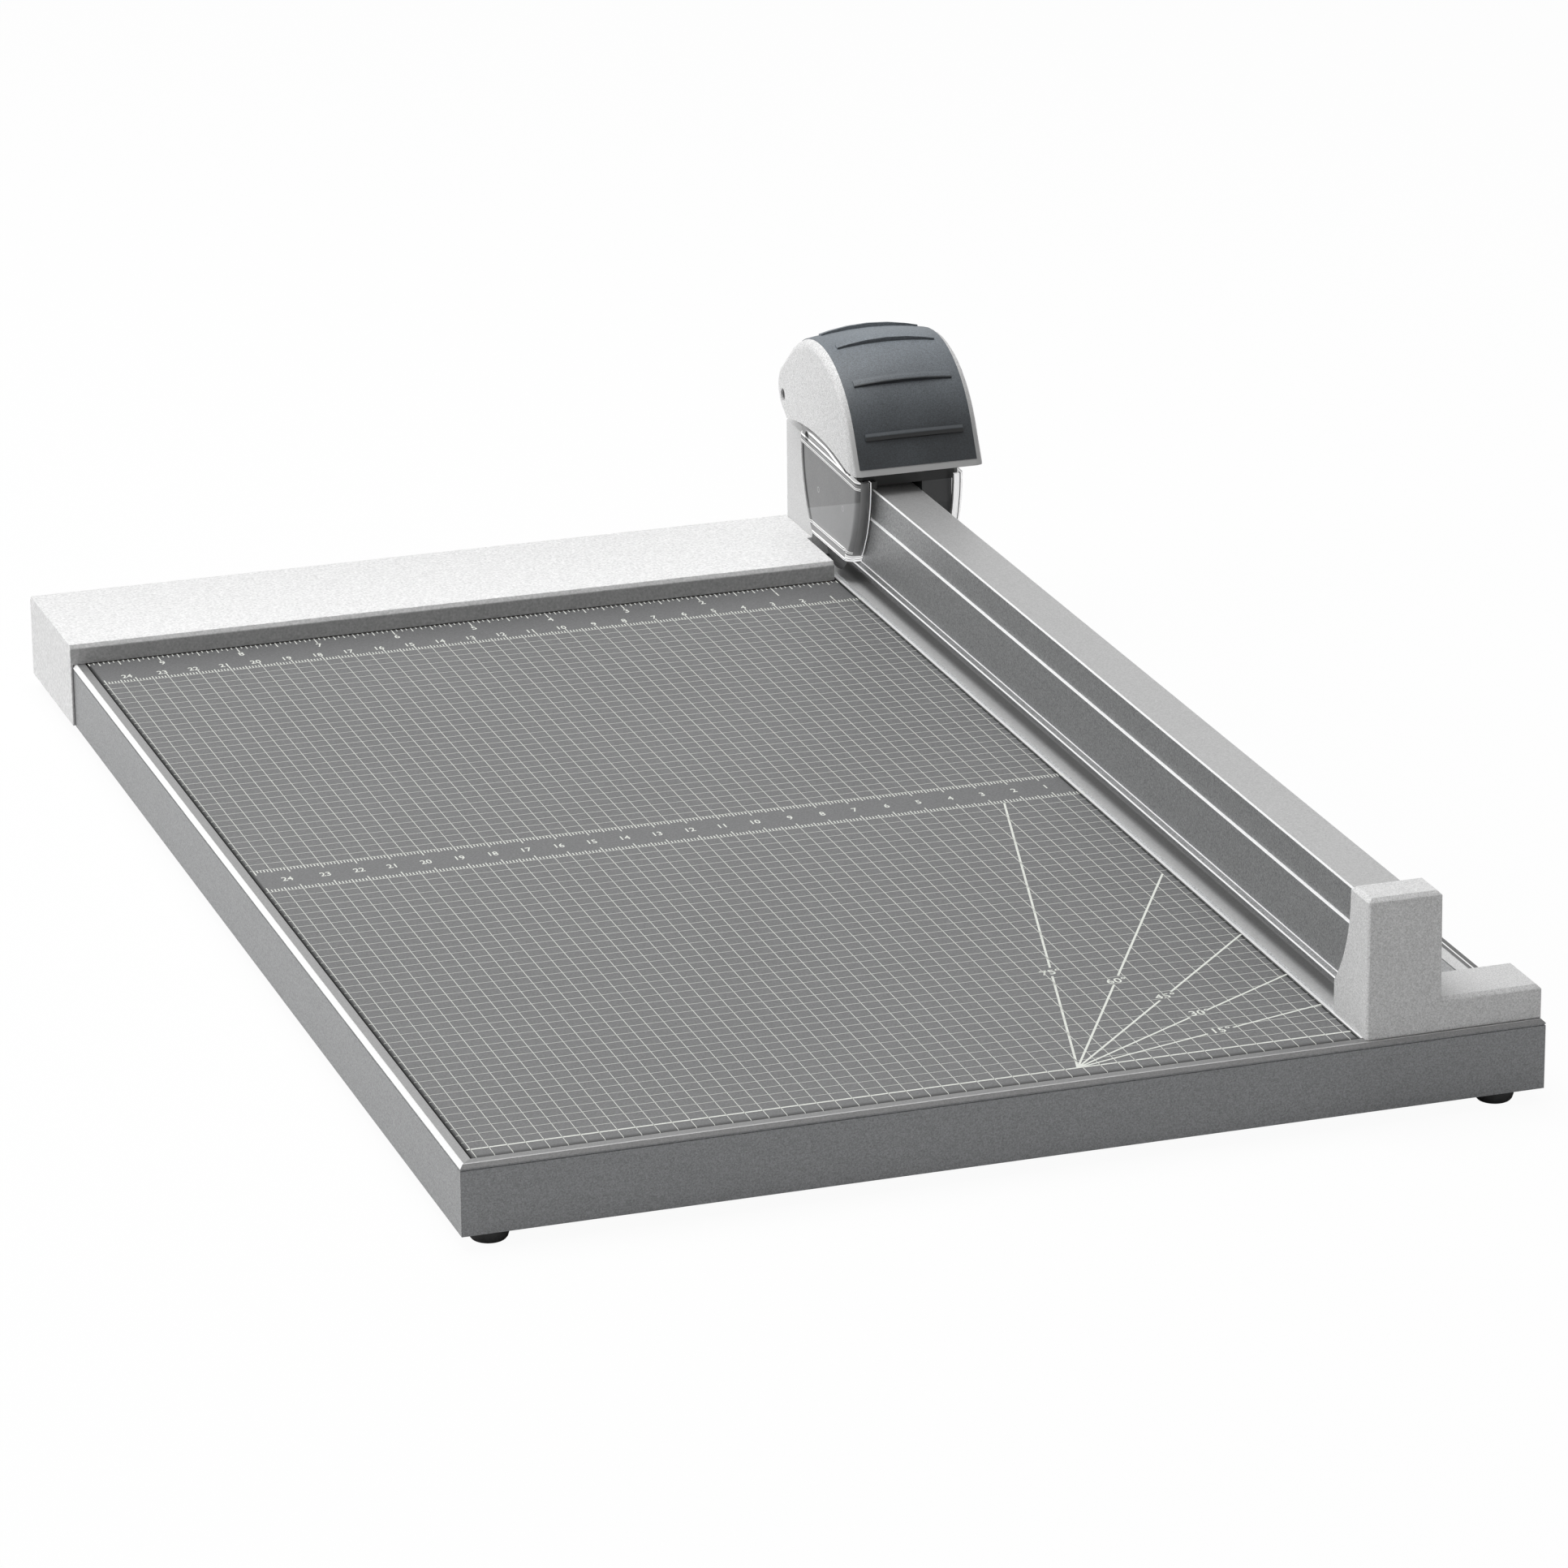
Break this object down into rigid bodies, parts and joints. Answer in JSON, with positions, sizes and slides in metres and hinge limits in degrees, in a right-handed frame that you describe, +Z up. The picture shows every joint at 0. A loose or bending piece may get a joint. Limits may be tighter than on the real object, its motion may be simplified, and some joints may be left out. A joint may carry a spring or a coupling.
{
  "type": "rotary paper trimmer",
  "caption": "Rotary paper trimmer with a gridded mat on an aluminium-framed board, a guide rail between end blocks and a spring-lifted cutter head that slides along it",
  "frame": {"origin": "Under the middle of the base, on the surface the rubber feet stand on", "axes": "X across the board to the right, Y from the front edge to the back along the cut, Z up"},
  "size_m": [0.307, 0.491, 0.1025],
  "materials": {
    "frame_aluminium": "satin anodised",
    "rail_aluminium": "satin anodised",
    "bed_aluminium": "brushed",
    "zinc_steel": "zinc plated",
    "dark_steel": "blackened",
    "knife_steel": "ground",
    "fibre_board": "raw board",
    "mat_vinyl": "printed satin",
    "white_coat": "powder coated, fine texture",
    "block_coat": "powder coated, fine speckle",
    "foot_rubber": "matt",
    "black_plastic": "moulded",
    "white_acetal": "smooth",
    "clear_guard": "clear polished plastic",
    "speckled_cap": "speckled",
    "grip_rubber": "soft, slightly glossy ribs"
  },
  "bodies": {
    "base": {"front_frame_rail": "frame_aluminium", "left_frame_rail": "frame_aluminium", "right_frame_rail": "frame_aluminium", "rear_frame_rail": "frame_aluminium", "corner_keys": "zinc_steel", "base_board": "fibre_board", "cutting_mat": "mat_vinyl", "header_cover": "white_coat", "edge_strip": "bed_aluminium", "cutting_bed": "bed_aluminium", "lower_knife": "knife_steel", "rubber_feet": "foot_rubber", "foot_screws": "zinc_steel", "front_end_block": "block_coat", "rear_end_block": "white_coat", "guide_rail": "rail_aluminium", "lip_strip": "rail_aluminium", "rail_screws": "zinc_steel"},
    "carriage": {"carriage_body": "black_plastic", "glide_pads": "white_acetal", "left_guard": "clear_guard", "right_guard": "clear_guard", "guard_screws": "zinc_steel", "hinge_pin": "dark_steel", "lift_spring": "zinc_steel"},
    "cap": {"cap_shell": "speckled_cap", "grip_cover": "grip_rubber"},
    "carrier": {"blade_carrier": "zinc_steel", "carrier_pins": "zinc_steel", "blade_axle": "zinc_steel"},
    "disc": {"cutting_disc": "knife_steel", "blade_hub": "white_acetal"}
  },
  "joints": [
    {"name": "head_slide", "type": "slide", "parent": "base", "child": "carriage", "axis": [0, -1, 0], "range_m": [0, 0.394]},
    {"name": "cap_press", "type": "hinge", "parent": "carriage", "child": "cap", "pos_m": [0.1196, 0.2364, 0.0742], "axis": [1, 0, 0], "range_deg": [0, 2.6], "stiffness_Nm_per_rad": 2, "springref_deg": -3.44},
    {"name": "blade_drop", "type": "slide", "parent": "carriage", "child": "carrier", "axis": [0, 0, -1], "range_m": [0, 0.0023], "deforming": ["lift_spring"]},
    {"name": "disc_spin", "type": "hinge", "parent": "carrier", "child": "disc", "pos_m": [0.10325, 0.198, 0.0399], "axis": [1, 0, 0], "continuous": true}
  ],
  "couplings": [
    {"joint": "blade_drop", "follows": "cap_press", "m_per_rad": 0.05}
  ]
}
